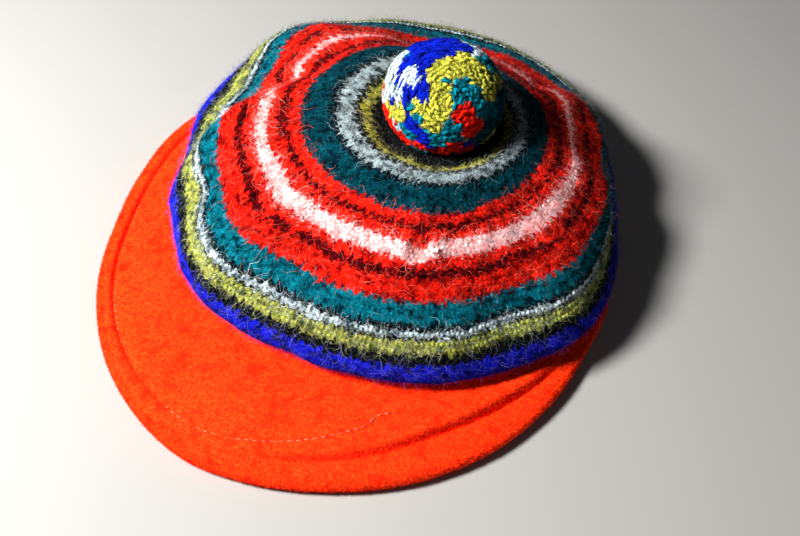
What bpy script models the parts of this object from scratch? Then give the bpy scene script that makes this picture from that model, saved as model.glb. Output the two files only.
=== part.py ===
"""A knitted and felted wool tam with a pompom and a wide padded peak, in metres, +Z up.

The hat lies on the flat lower edge of its head band, with the peak towards -Y. The origin is
under the middle of its bounding box. Azimuths are in degrees, 0 at the front (-Y) and positive
towards +X. Tables give lengths as shares of the named sizes.
"""

import math
from collections import namedtuple

import bmesh
import bpy
import numpy as np

# Driving sizes
HEAD_RADIUS = 0.0900
BAND_WALL = 0.0030
BAND_HEIGHT = 0.0240
CLOTH = 0.0030
CROWN_RADIUS = 0.1250
CROWN_DEPTH = 0.0592
CROWN_LEAN = 0.0145
PEAK_DEPTH = 0.0952
PEAK_THICKNESS = 0.0060
PEAK_ROOT_LIFT = 0.0026
PEAK_ARCH = 0.0030
PEAK_TIP_RISE = 0.0030
CREASE_STEP = 0.0036
CREASE_GROOVE = 0.0016
CREASE_WIDTH = 0.0032
CHANNEL_GROOVE = 0.0007
CHANNEL_WIDTH = 0.0030
POMPOM_RADIUS = 0.0300
POMPOM_SUNK = 0.0075
LOCK_RADIUS = 0.0095
LOCK_PROUD = 0.0035
GAP = 0.0003
UNDERSIDE_CLEARANCE = 0.0012
SEAT_CLEARANCE = 0.0005

# Counts that set how fine the solids are
CROWN_COLUMNS = 56
CROWN_RINGS_SHOWN = 25
STEPS_PER_SPAN = 6
BAND_COLUMNS = 56
PEAK_COLUMNS = 46
NOSE_STEPS = 4
LOCK_COUNT = 46
PROFILE_MERGE = 0.00002

# Sizes that follow
BAND_OUTER = HEAD_RADIUS + BAND_WALL
BAND_TOP = BAND_HEIGHT + GAP
PEAK_ROOT_RADIUS = BAND_OUTER + GAP
PEAK_HALF = PEAK_THICKNESS / 2
PEAK_ROOT_HEIGHT = PEAK_ROOT_LIFT + PEAK_HALF
UNDERSIDE = PEAK_ROOT_HEIGHT + PEAK_HALF + PEAK_ARCH + UNDERSIDE_CLEARANCE

# The crown's upper side from the middle to where it turns under. radius is a share of
# CROWN_RADIUS, height of CROWN_DEPTH above the underside, lean of CROWN_LEAN towards +X.
CrownRing = namedtuple("CrownRing", "radius height lean")
CROWN_RINGS = (
    CrownRing(radius=0.00, height=0.880, lean=1.00),
    CrownRing(radius=0.12, height=0.895, lean=1.00),
    CrownRing(radius=0.23, height=0.950, lean=1.00),
    CrownRing(radius=0.33, height=1.005, lean=0.80),
    CrownRing(radius=0.42, height=0.965, lean=0.57),
    CrownRing(radius=0.52, height=0.865, lean=0.39),
    CrownRing(radius=0.65, height=0.745, lean=0.27),
    CrownRing(radius=0.80, height=0.550, lean=0.19),
    CrownRing(radius=0.90, height=0.395, lean=0.15),
    CrownRing(radius=0.965, height=0.260, lean=0.14),
    CrownRing(radius=1.00, height=0.125, lean=0.14),
    CrownRing(radius=0.985, height=0.030, lean=0.12),
)

# The turned-under side from there to the band. inward runs from CROWN_RADIUS to the band's
# outer wall, rise from the underside's level to the band's top, lean as above.
UnderRing = namedtuple("UnderRing", "inward rise lean")
UNDER_RINGS = (
    UnderRing(inward=0.25, rise=0.00, lean=0.09),
    UnderRing(inward=0.55, rise=0.12, lean=0.04),
    UnderRing(inward=0.80, rise=0.75, lean=0.00),
    UnderRing(inward=1.00, rise=1.00, lean=0.00),
)

# The crown's folds. azimuth and width (half of the fold's spread) are degrees; start, middle
# and end are places along the cloth, 0 in the middle of the crown and 1 at its widest ring;
# slant is how many degrees the fold moves round for each such unit that it runs outwards;
# out and lift are shares of CROWN_RADIUS, and turn is degrees that the cloth slides sideways.
Fold = namedtuple("Fold", "azimuth slant width start middle end out lift turn")
CROWN_FOLDS = (
    Fold(azimuth=-135, slant=0, width=76, start=0.64, middle=1.00, end=1.25, out=0.085, lift=-0.012, turn=0),
    Fold(azimuth=-113, slant=0, width=17, start=0.44, middle=0.74, end=1.10, out=0.066, lift=0.012, turn=0),
    Fold(azimuth=-84, slant=0, width=21, start=0.54, middle=0.84, end=1.05, out=-0.085, lift=0.000, turn=0),
    Fold(azimuth=-76, slant=60, width=12, start=0.40, middle=0.72, end=1.02, out=-0.060, lift=-0.044, turn=0),
    Fold(azimuth=-62, slant=50, width=12, start=0.42, middle=0.68, end=0.92, out=-0.010, lift=0.044, turn=-3),
    Fold(azimuth=-63, slant=0, width=17, start=0.78, middle=1.00, end=1.20, out=-0.045, lift=0.000, turn=0),
    Fold(azimuth=-42, slant=0, width=14, start=0.74, middle=0.86, end=1.00, out=-0.036, lift=0.000, turn=0),
    Fold(azimuth=-23, slant=-20, width=12, start=0.40, middle=0.66, end=0.90, out=0.000, lift=-0.050, turn=0),
    Fold(azimuth=-17, slant=0, width=25, start=0.50, middle=0.92, end=1.25, out=0.056, lift=0.018, turn=0),
    Fold(azimuth=-4, slant=0, width=12, start=0.52, middle=0.74, end=0.98, out=-0.034, lift=-0.010, turn=0),
    Fold(azimuth=29, slant=0, width=15, start=0.34, middle=0.56, end=0.84, out=0.030, lift=0.020, turn=0),
    Fold(azimuth=32, slant=0, width=10, start=0.50, middle=0.57, end=0.66, out=-0.010, lift=-0.022, turn=0),
    Fold(azimuth=56, slant=0, width=13, start=0.66, middle=0.88, end=1.06, out=-0.036, lift=-0.012, turn=0),
    Fold(azimuth=78, slant=0, width=15, start=0.50, middle=0.76, end=0.92, out=0.026, lift=0.012, turn=0),
    Fold(azimuth=118, slant=0, width=46, start=0.72, middle=0.96, end=1.22, out=-0.125, lift=-0.010, turn=0),
    Fold(azimuth=121, slant=0, width=12, start=0.45, middle=0.72, end=1.00, out=-0.022, lift=-0.020, turn=0),
    Fold(azimuth=145, slant=0, width=13, start=0.40, middle=0.62, end=0.95, out=0.026, lift=0.020, turn=0),
    Fold(azimuth=156, slant=0, width=10, start=0.48, middle=0.58, end=0.68, out=-0.012, lift=-0.022, turn=0),
    Fold(azimuth=170, slant=0, width=34, start=0.30, middle=0.62, end=0.98, out=-0.032, lift=-0.020, turn=0),
    Fold(azimuth=-156, slant=0, width=30, start=0.30, middle=0.60, end=0.98, out=-0.062, lift=-0.055, turn=0),
)

# The peak from its left tip to its right one: how far it reaches from the band, as a share of
# PEAK_DEPTH, and how much its edge rises, as a share of PEAK_TIP_RISE.
PeakRow = namedtuple("PeakRow", "azimuth reach rise")
PEAK_ROWS = (
    PeakRow(azimuth=-105, reach=0.050, rise=1.0),
    PeakRow(azimuth=-98, reach=0.200, rise=1.0),
    PeakRow(azimuth=-90, reach=0.325, rise=0.9),
    PeakRow(azimuth=-75, reach=0.435, rise=0.6),
    PeakRow(azimuth=-60, reach=0.520, rise=0.3),
    PeakRow(azimuth=-46, reach=0.620, rise=0.1),
    PeakRow(azimuth=-30, reach=0.790, rise=0.0),
    PeakRow(azimuth=-15, reach=0.925, rise=0.0),
    PeakRow(azimuth=0, reach=1.000, rise=0.0),
    PeakRow(azimuth=10, reach=0.970, rise=0.0),
    PeakRow(azimuth=22, reach=0.890, rise=0.0),
    PeakRow(azimuth=34, reach=0.800, rise=0.0),
    PeakRow(azimuth=47, reach=0.680, rise=0.0),
    PeakRow(azimuth=60, reach=0.545, rise=0.1),
    PeakRow(azimuth=75, reach=0.400, rise=0.4),
    PeakRow(azimuth=90, reach=0.310, rise=0.9),
    PeakRow(azimuth=98, reach=0.190, rise=1.0),
    PeakRow(azimuth=105, reach=0.050, rise=1.0),
)

# Two lines that run along the peak: how far each lies inside the edge, as a share of
# PEAK_DEPTH, and how deep it is, as a share of its full depth. The crease lies behind the
# puffy front rim, and runs on along the channel where it has no depth.
LineRow = namedtuple("LineRow", "azimuth inset depth")
CREASE_ROWS = (
    LineRow(azimuth=-105, inset=0.100, depth=0.00),
    LineRow(azimuth=-60, inset=0.095, depth=0.00),
    LineRow(azimuth=-40, inset=0.090, depth=0.00),
    LineRow(azimuth=-20, inset=0.100, depth=0.00),
    LineRow(azimuth=-6, inset=0.105, depth=0.00),
    LineRow(azimuth=8, inset=0.105, depth=0.50),
    LineRow(azimuth=22, inset=0.135, depth=0.90),
    LineRow(azimuth=37, inset=0.180, depth=1.00),
    LineRow(azimuth=50, inset=0.160, depth=1.00),
    LineRow(azimuth=62, inset=0.110, depth=0.60),
    LineRow(azimuth=72, inset=0.080, depth=0.00),
    LineRow(azimuth=105, inset=0.080, depth=0.00),
)
CHANNEL_ROWS = (
    LineRow(azimuth=-105, inset=0.100, depth=0.00),
    LineRow(azimuth=-84, inset=0.098, depth=1.00),
    LineRow(azimuth=-60, inset=0.095, depth=1.00),
    LineRow(azimuth=-40, inset=0.090, depth=1.00),
    LineRow(azimuth=-20, inset=0.100, depth=0.80),
    LineRow(azimuth=0, inset=0.140, depth=0.40),
    LineRow(azimuth=15, inset=0.210, depth=0.20),
    LineRow(azimuth=32, inset=0.350, depth=0.00),
    LineRow(azimuth=105, inset=0.350, depth=0.00),
)

# Places across the peak, as shares: from the band to the line that it creases along, and from
# there to where its rounded edge starts. Between them lie the line itself and its two sides.
INNER_STATIONS = (0.0, 0.22, 0.44, 0.64, 0.82)
RIM_STATIONS = (0.4, 0.75, 1.0)
LINE_MOST = 0.6

Finish = namedtuple("Finish", "colour roughness")
CROWN_FINISH = Finish(colour=(0.62, 0.06, 0.03), roughness=0.95)
BAND_FINISH = Finish(colour=(0.80, 0.07, 0.02), roughness=0.95)
PEAK_FINISH = Finish(colour=(0.85, 0.09, 0.02), roughness=0.95)
POMPOM_FINISH = Finish(colour=(0.75, 0.70, 0.15), roughness=0.90)


def clear_scene():
    for obj in list(bpy.data.objects):
        bpy.data.objects.remove(obj)


def collection(name, helper=False):
    made = bpy.data.collections.new(name)
    bpy.context.scene.collection.children.link(made)
    made.hide_render = helper
    return made


def material(name, finish):
    made = bpy.data.materials.new(name)
    made.use_nodes = True
    shader = made.node_tree.nodes["Principled BSDF"]
    shader.inputs["Base Color"].default_value = (*finish.colour, 1.0)
    shader.inputs["Roughness"].default_value = finish.roughness
    made.diffuse_color = (*finish.colour, 1.0)
    return made


def smoothstep(low, high, value):
    share = np.clip((value - low) / (high - low), 0.0, 1.0)
    return share * share * (3.0 - 2.0 * share)


def smooth_rows(rows, steps):
    """Points on a Catmull-Rom curve through the rows, with steps points for each span."""
    rows = np.asarray(rows, float)
    padded = np.vstack([2 * rows[0] - rows[1], rows, 2 * rows[-1] - rows[-2]])
    points = []
    for before, start, end, after in zip(padded, padded[1:], padded[2:], padded[3:]):
        for step in range(steps):
            t = step / steps
            points.append(0.5 * (
                2 * start
                + (end - before) * t
                + (2 * before - 5 * start + 4 * end - after) * t ** 2
                + (3 * start - 3 * end + after - before) * t ** 3
            ))
    points.append(rows[-1])
    return np.array(points)


def read_rows(rows, azimuth, column):
    """A table's column at an azimuth, eased between its rows."""
    places = [row.azimuth for row in rows]
    values = [getattr(row, column) for row in rows]
    fine = smooth_rows(np.column_stack([places, values]), 6)
    return float(np.interp(azimuth, fine[:, 0], fine[:, 1]))


def cloth_length(curve):
    """Length along a curve of radii and heights, up to each of its points."""
    return np.concatenate([[0.0], np.cumsum(np.hypot(*np.diff(curve[:, :2], axis=0).T))])


def crown_profile():
    """Radius, height, lean and place along the cloth, from the middle of the crown to the band."""
    rows = [
        (ring.radius * CROWN_RADIUS, UNDERSIDE + ring.height * CROWN_DEPTH, ring.lean * CROWN_LEAN)
        for ring in CROWN_RINGS
    ]
    widest = [ring.radius for ring in CROWN_RINGS].index(1.0) * STEPS_PER_SPAN
    for ring in UNDER_RINGS:
        radius = CROWN_RADIUS + ring.inward * (BAND_OUTER - CROWN_RADIUS)
        rows.append((radius, UNDERSIDE + ring.rise * (BAND_TOP - UNDERSIDE), ring.lean * CROWN_LEAN))
    curve = smooth_rows(rows, STEPS_PER_SPAN)
    curve[:, 0] = np.maximum(curve[:, 0], 0.0)
    cloth = cloth_length(curve)
    along = cloth / cloth[widest]
    # Rings lie evenly along the cloth, and the last one ends flat on top of the band.
    places = np.linspace(0.0, cloth[-1], CROWN_RINGS_SHOWN)
    even = np.column_stack([np.interp(places, cloth, column) for column in (*curve.T, along)])
    end = along[-1] + (BAND_OUTER - HEAD_RADIUS) / cloth[widest]
    return np.vstack([even, (HEAD_RADIUS, BAND_TOP, 0.0, end)])


def fold_shift(azimuth, along):
    """How far the folds move the cloth out, up and round, at each azimuth and place along it."""
    out = np.zeros_like(azimuth)
    lift = np.zeros_like(azimuth)
    turn = np.zeros_like(azimuth)
    for fold in CROWN_FOLDS:
        middle = fold.azimuth + fold.slant * (along - fold.middle)
        across = ((azimuth - middle + 180) % 360 - 180) / fold.width
        ridge = np.clip(1 - across ** 2, 0, None) ** 2
        reach = smoothstep(fold.start, fold.middle, along) * (1 - smoothstep(fold.middle, fold.end, along))
        out += fold.out * CROWN_RADIUS * ridge * reach
        lift += fold.lift * CROWN_RADIUS * ridge * reach
        turn += fold.turn * ridge * reach
    return out, lift, turn


def mesh_object(name, mesh, finish, group):
    made = bpy.data.objects.new(name, mesh)
    group.objects.link(made)
    if finish is not None:
        mesh.materials.clear()
        mesh.materials.append(material(name, finish))
    mesh.shade_smooth()
    return made


def turned(name, profile, columns, closed, group):
    """An object whose profile (radius, height) a Screw modifier turns round the Z axis."""
    mesh = bpy.data.meshes.new(name)
    edges = [(i, i + 1) for i in range(len(profile) - 1)]
    if closed:
        edges.append((len(profile) - 1, 0))
    mesh.from_pydata([(radius, 0.0, height) for radius, height in profile], edges, [])
    made = bpy.data.objects.new(name, mesh)
    group.objects.link(made)
    screw = made.modifiers.new("turn", "SCREW")
    screw.axis = "Z"
    screw.steps = columns
    screw.render_steps = columns
    screw.use_merge_vertices = True
    screw.merge_threshold = PROFILE_MERGE
    screw.use_smooth_shade = True
    return made


def evaluated_mesh(obj):
    bpy.context.view_layer.update()
    return bpy.data.meshes.new_from_object(obj.evaluated_get(bpy.context.evaluated_depsgraph_get()))


def make_crown(group):
    """The knitted shell: a turned blank whose rings lean and fold, then get the cloth's thickness."""
    profile = crown_profile()
    blank = turned("crown_blank", profile[:, :2], CROWN_COLUMNS, False, group)
    mesh = evaluated_mesh(blank)
    bpy.data.objects.remove(blank)
    points = np.array([vertex.co for vertex in mesh.vertices])
    radius = np.hypot(points[:, 0], points[:, 1])
    azimuth = np.degrees(np.arctan2(points[:, 0], -points[:, 1]))
    steps = np.hypot(radius[:, None] - profile[:, 0], points[:, 2][:, None] - profile[:, 1])
    ring = profile[steps.argmin(axis=1)]
    out, lift, turn = fold_shift(azimuth, ring[:, 3])
    angle = np.radians(azimuth + turn)
    reach = np.where(ring[:, 0] > 0, ring[:, 0] + out, 0.0)
    moved = np.column_stack([reach * np.sin(angle) + ring[:, 2], -reach * np.cos(angle), ring[:, 1] + lift])
    mesh.vertices.foreach_set("co", moved.ravel())
    mesh.update()
    crown = mesh_object("crown", mesh, CROWN_FINISH, group)
    wall = crown.modifiers.new("cloth", "SOLIDIFY")
    wall.thickness = CLOTH
    wall.offset = -1.0
    wall.use_even_offset = True
    return crown


def make_band(group):
    """The head band: a plain knitted ring whose flat lower edge the hat rests on."""
    outline = (
        (BAND_OUTER, BAND_HEIGHT),
        (BAND_OUTER, BAND_HEIGHT / 2),
        (BAND_OUTER, 0.0),
        (HEAD_RADIUS, 0.0),
        (HEAD_RADIUS, BAND_HEIGHT / 2),
        (HEAD_RADIUS, BAND_HEIGHT),
    )
    turned_band = turned("band_blank", outline, BAND_COLUMNS, True, group)
    mesh = evaluated_mesh(turned_band)
    bpy.data.objects.remove(turned_band)
    band = mesh_object("head_band", mesh, BAND_FINISH, group)
    mesh.set_sharp_from_angle(angle=math.radians(40))
    return band


def peak_middle(azimuth, inside, length):
    """Height of the middle of the padding, inside the edge by a distance."""
    edge = PEAK_HALF + read_rows(PEAK_ROWS, azimuth, "rise") * PEAK_TIP_RISE
    share = np.clip(inside / length, 0.0, 1.0)
    return edge + (PEAK_ROOT_HEIGHT - edge) * share + PEAK_ARCH * 4 * share * (1 - share)


def line_inset(rows, azimuth, length):
    return min(read_rows(rows, azimuth, "inset") * PEAK_DEPTH, LINE_MOST * length)


def crease_shift(azimuth, inside, length):
    """How far the crease moves the padding: a step at its inner side, and a groove along it."""
    depth = max(read_rows(CREASE_ROWS, azimuth, "depth"), 0.0)
    inset = line_inset(CREASE_ROWS, azimuth, length)
    step_end = inset + CREASE_WIDTH
    under_crown = max(PEAK_ROOT_RADIUS + length - CROWN_RADIUS, step_end + CREASE_WIDTH)
    step = smoothstep(inset - CREASE_WIDTH / 2, step_end, inside)
    fade = 1 - smoothstep(step_end, under_crown, inside)
    groove = np.exp(-((inside - inset) / (CREASE_WIDTH / 2)) ** 2)
    return depth * (CREASE_STEP * step * fade - CREASE_GROOVE * groove)


def channel_shift(azimuth, inside, length):
    """How far the stitched channel presses the upper side down."""
    depth = max(read_rows(CHANNEL_ROWS, azimuth, "depth"), 0.0)
    inset = line_inset(CHANNEL_ROWS, azimuth, length)
    return -depth * CHANNEL_GROOVE * np.exp(-((inside - inset) / (CHANNEL_WIDTH / 2)) ** 2)


def peak_section(azimuth):
    """The closed outline of the padded peak at one azimuth: over the top, round the edge and back."""
    length = read_rows(PEAK_ROWS, azimuth, "reach") * PEAK_DEPTH
    nose = min(PEAK_HALF, length / 4)
    line = max(line_inset(CREASE_ROWS, azimuth, length), nose)
    side = min(CREASE_WIDTH, (length - line) / 2)
    inside = [length + share * (line + side - length) for share in INNER_STATIONS]
    inside += [line + side, line + side / 3, line]
    inside += [line + share * (nose - line) for share in RIM_STATIONS]
    inside = np.array(inside)
    middle = peak_middle(azimuth, inside, length)
    crease = crease_shift(azimuth, inside, length)
    top = middle + PEAK_HALF + crease + channel_shift(azimuth, inside, length)
    bottom = np.maximum(middle - PEAK_HALF + np.maximum(crease, 0.0), 0.0)
    nose_middle = (top[-1] + bottom[-1]) / 2
    nose_half = (top[-1] - bottom[-1]) / 2
    section = list(zip(inside, top))
    for turn in np.linspace(math.pi / 2, -math.pi / 2, NOSE_STEPS + 2)[1:-1]:
        section.append((nose - nose * math.cos(turn), nose_middle + nose_half * math.sin(turn)))
    section += list(zip(inside[::-2], bottom[::-2]))
    angle = math.radians(azimuth)
    edge = PEAK_ROOT_RADIUS + length
    return [((edge - d) * math.sin(angle), -(edge - d) * math.cos(angle), z) for d, z in section]


def make_peak(group):
    """The padded peak: a loft of closed sections whose depth, crease and channel change with azimuth."""
    tip = PEAK_ROWS[-1].azimuth
    mesh = bpy.data.meshes.new("peak")
    build = bmesh.new()
    rings = []
    for azimuth in np.linspace(-tip, tip, PEAK_COLUMNS + 1):
        rings.append([build.verts.new(point) for point in peak_section(float(azimuth))])
    for ring, following in zip(rings, rings[1:]):
        for i in range(len(ring)):
            j = (i + 1) % len(ring)
            build.faces.new((ring[i], ring[j], following[j], following[i]))
    build.faces.new(rings[0][::-1])
    build.faces.new(rings[-1])
    bmesh.ops.recalc_face_normals(build, faces=build.faces)
    bmesh.ops.triangulate(build, faces=[face for face in build.faces if len(face.verts) > 4])
    build.to_mesh(mesh)
    build.free()
    return mesh_object("peak", mesh, PEAK_FINISH, group)


def lock_directions():
    """Directions of the yarn locks, spread evenly over the ball by the golden angle."""
    golden = math.pi * (3.0 - math.sqrt(5.0))
    directions = []
    for i in range(LOCK_COUNT):
        height = 1.0 - 2.0 * (i + 0.5) / LOCK_COUNT
        ring = math.sqrt(1.0 - height * height)
        directions.append((ring * math.cos(golden * i), ring * math.sin(golden * i), height))
    return directions


def ball(name, radius, subdivisions, centre, group):
    mesh = bpy.data.meshes.new(name)
    build = bmesh.new()
    bmesh.ops.create_icosphere(build, subdivisions=subdivisions, radius=radius)
    bmesh.ops.translate(build, vec=centre, verts=build.verts)
    build.to_mesh(mesh)
    build.free()
    made = bpy.data.objects.new(name, mesh)
    group.objects.link(made)
    return made


def seat_height():
    """Height of the crown's middle, where the pompom sits."""
    return UNDERSIDE + CROWN_RINGS[0].height * CROWN_DEPTH


def make_seat_cutter(helpers):
    """What the pompom's underside is cut by: the crown's dimple, raised by the clearance."""
    profile = crown_profile()
    bowl = [(r, z + SEAT_CLEARANCE) for r, z, lean, along in profile if r < 1.5 * POMPOM_RADIUS and along < 1]
    floor = seat_height() - POMPOM_RADIUS
    outline = bowl + [(bowl[-1][0], floor), (0.0, floor)]
    cutter = turned("pompom_seat", outline, CROWN_COLUMNS, False, helpers)
    cutter.location.x = CROWN_LEAN
    cutter.hide_render = True
    cutter.display_type = "WIRE"
    return cutter


def make_pompom(group, helpers):
    """Yarn locks round a core, fused into one body and cut to the dimple that it sits in."""
    core_radius = POMPOM_RADIUS - LOCK_PROUD
    centre = (CROWN_LEAN, 0.0, seat_height() + POMPOM_RADIUS - POMPOM_SUNK)
    core = ball("pompom", core_radius, 3, centre, group)
    locks = bpy.data.collections.new("pompom_locks")
    helpers.children.link(locks)
    lock_distance = POMPOM_RADIUS - LOCK_RADIUS
    for i, direction in enumerate(lock_directions()):
        place = [c + lock_distance * d for c, d in zip(centre, direction)]
        lock = ball(f"lock_{i:02d}", LOCK_RADIUS, 2, place, locks)
        lock.hide_render = True
        lock.display_type = "WIRE"
    fuse = core.modifiers.new("fuse_locks", "BOOLEAN")
    fuse.operation = "UNION"
    fuse.operand_type = "COLLECTION"
    fuse.collection = locks
    fuse.solver = "EXACT"
    seat = core.modifiers.new("seat", "BOOLEAN")
    seat.operation = "DIFFERENCE"
    seat.object = make_seat_cutter(helpers)
    seat.solver = "EXACT"
    core.data.materials.append(material("pompom", POMPOM_FINISH))
    return core


def centre_on_floor(pieces, helpers):
    """Moves every object so that the origin is under the middle of the pieces' bounding box."""
    bpy.context.view_layer.update()
    graph = bpy.context.evaluated_depsgraph_get()
    corners = []
    for piece in pieces:
        mesh = piece.evaluated_get(graph).to_mesh()
        points = np.array([piece.matrix_world @ vertex.co for vertex in mesh.vertices])
        corners += [points.min(axis=0), points.max(axis=0)]
    low = np.min(corners, axis=0)
    high = np.max(corners, axis=0)
    root = bpy.data.objects.new("hat", None)
    pieces[0].users_collection[0].objects.link(root)
    for obj in [*pieces, *helpers.all_objects]:
        obj.parent = root
    root.location = (-(low[0] + high[0]) / 2, -(low[1] + high[1]) / 2, 0.0)


def main():
    clear_scene()
    hat = collection("peaked_tam")
    helpers = collection("cutters", helper=True)
    pieces = [make_crown(hat), make_band(hat), make_peak(hat), make_pompom(hat, helpers)]
    centre_on_floor(pieces, helpers)


main()
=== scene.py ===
"""Dresses the peaked tam: felted striped knit, padded peak and yarn pompom, all in metres.

Azimuths are in degrees round the head band's axis, 0 at the front (-Y) and positive towards +X.
"along" is a place on the crown's cloth: 0 in the middle of the crown and 1 at its widest ring.
"""

import math
from collections import namedtuple

import bpy
import numpy as np
from mathutils import Matrix, Vector


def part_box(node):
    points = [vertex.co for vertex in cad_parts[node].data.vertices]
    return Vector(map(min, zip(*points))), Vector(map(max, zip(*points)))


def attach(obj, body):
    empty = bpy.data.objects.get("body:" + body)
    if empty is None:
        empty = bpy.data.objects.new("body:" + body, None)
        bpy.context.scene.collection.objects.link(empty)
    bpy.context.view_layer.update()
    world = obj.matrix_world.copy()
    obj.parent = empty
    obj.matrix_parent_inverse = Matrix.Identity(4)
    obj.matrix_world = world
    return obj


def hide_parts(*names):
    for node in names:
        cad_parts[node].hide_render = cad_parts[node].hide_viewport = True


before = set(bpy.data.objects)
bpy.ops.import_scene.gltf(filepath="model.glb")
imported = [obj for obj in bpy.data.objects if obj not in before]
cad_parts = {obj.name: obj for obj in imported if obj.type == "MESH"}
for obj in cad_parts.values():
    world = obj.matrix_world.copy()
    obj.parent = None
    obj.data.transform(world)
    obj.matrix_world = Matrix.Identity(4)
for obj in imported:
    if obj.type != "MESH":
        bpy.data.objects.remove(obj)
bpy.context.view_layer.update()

# The frame: where the band stands, and the sizes that follow from the solids
BAND_LOW, BAND_HIGH = (np.array(corner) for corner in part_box("head_band"))
PEAK_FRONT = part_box("peak")[0][1]
POMPOM_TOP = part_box("pompom")[1][2]
ROOT = np.array([(BAND_LOW[0] + BAND_HIGH[0]) / 2, (BAND_LOW[1] + BAND_HIGH[1]) / 2, 0.0])
BAND_OUTER = (BAND_HIGH[0] - BAND_LOW[0]) / 2
BAND_HEIGHT = BAND_HIGH[2]
BAND_WALL = 0.0030
HEAD_RADIUS = BAND_OUTER - BAND_WALL
GAP = 0.0003

# Crown
CLOTH = 0.0030
CROWN_RADIUS = 0.1250
CROWN_DEPTH = 0.0592
CROWN_LEAN = 0.0145
UNDERSIDE = 0.0128

# Peak
PEAK_THICKNESS = 0.0060
PEAK_HALF = PEAK_THICKNESS / 2
PEAK_ROOT_RADIUS = BAND_OUTER + GAP
PEAK_DEPTH = ROOT[1] - PEAK_FRONT - PEAK_ROOT_RADIUS
PEAK_ROOT_HEIGHT = 0.0056
PEAK_ARCH = 0.0030
PEAK_TIP_RISE = 0.0030
CREASE_STEP = 0.0036
CREASE_GROOVE = 0.0022
CREASE_WIDTH = 0.0032
CHANNEL_GROOVE = 0.0016
CHANNEL_WIDTH = 0.0028
THREAD = 0.00032
THREAD_SPAN = (-86, 30)
THREAD_STITCHES = 95
THREAD_STITCH = (0.08, 0.86)
THREAD_RISE = 0.9
THREAD_DROP = 1.5
THREAD_SINK = 0.6
THREAD_COLOUR = (0.92, 0.24, 0.17)
RIM_PUFF = 0.0011

# Pompom
POMPOM_RADIUS = 0.0300
POMPOM_LOWEST = -0.72
POMPOM_SHAPE = np.array([0.99, 0.99, 0.89])
POMPOM_SINK = 0.0020
POMPOM_NAP = 0.0014
POMPOM_CENTRE = ROOT + np.array([CROWN_LEAN, 0.0, POMPOM_TOP - POMPOM_RADIUS - POMPOM_SINK])

# Knit and fibres
STITCH_WIDTH = 0.0046
ROW_HEIGHT = 0.0033
YARN_RADIUS = 0.00130
YARN_THICKNESS = (0.92, 1.14)
YARN_ROUND = 0.8
YARN_SINK = 0.8
BAND_RIB = 0.0024
BAND_WAVE = 0.0004
BAND_ROW_WAVE = 0.0002

# Camera, at the photo's angle: degrees, metres and millimetres of lens
CAMERA_AZIMUTH = 27.6
CAMERA_ELEVATION = 50.0
CAMERA_ROLL = 7.0
CAMERA_DISTANCE = 0.5208
CAMERA_LENS = 45.0
CAMERA_SENSOR = 36.0
CAMERA_AIM = (-0.005, 0.006)
CAMERA_TARGET = ROOT + np.array([0.0182, -0.0365, 0.0])

# Floor, sky and the height over the floor that the lights shine on
FLOOR_COLOUR = (0.38, 0.38, 0.37, 1.0)
WORLD_COLOUR = (0.9, 0.93, 1.0, 1.0)
WORLD_STRENGTH = 0.06
LIGHT_AIM = 0.03


def table(columns, *rows):
    """Rows of numbers and words under the names of their columns."""
    kind = namedtuple("Row", columns)
    return [kind(*row) for row in rows]


# Lights: how far from the hat to the camera's right, towards the camera and up in metres, their
# size in metres and their power in watts
LIGHTS = table(
    "name right front up size power colour",
    ("key", -0.66, 0.20, 0.76, 0.24, 25.0, (1.0, 0.98, 0.95)),
    ("fill", 0.70, 0.50, 0.90, 1.00, 0.4, (0.92, 0.95, 1.0)),
)

# Rings of the crown from its middle to its widest ring and just below: radius as a share of
# CROWN_RADIUS, height as a share of CROWN_DEPTH and lean as a share of CROWN_LEAN
CROWN_RINGS = table(
    "radius height lean",
    (0.00, 0.880, 1.00),
    (0.12, 0.895, 1.00),
    (0.23, 0.950, 1.00),
    (0.33, 1.005, 0.80),
    (0.42, 0.965, 0.57),
    (0.52, 0.865, 0.39),
    (0.65, 0.745, 0.27),
    (0.80, 0.550, 0.19),
    (0.90, 0.395, 0.15),
    (0.965, 0.260, 0.14),
    (1.00, 0.125, 0.14),
    (0.985, 0.030, 0.12),
)

# Rings of the turned-under rim, as shares of the way in to the band and up to its top
UNDER_RINGS = table(
    "inward rise lean",
    (0.25, 0.00, 0.09),
    (0.55, 0.12, 0.04),
    (0.80, 0.75, 0.00),
    (1.00, 1.00, 0.00),
)

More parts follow.
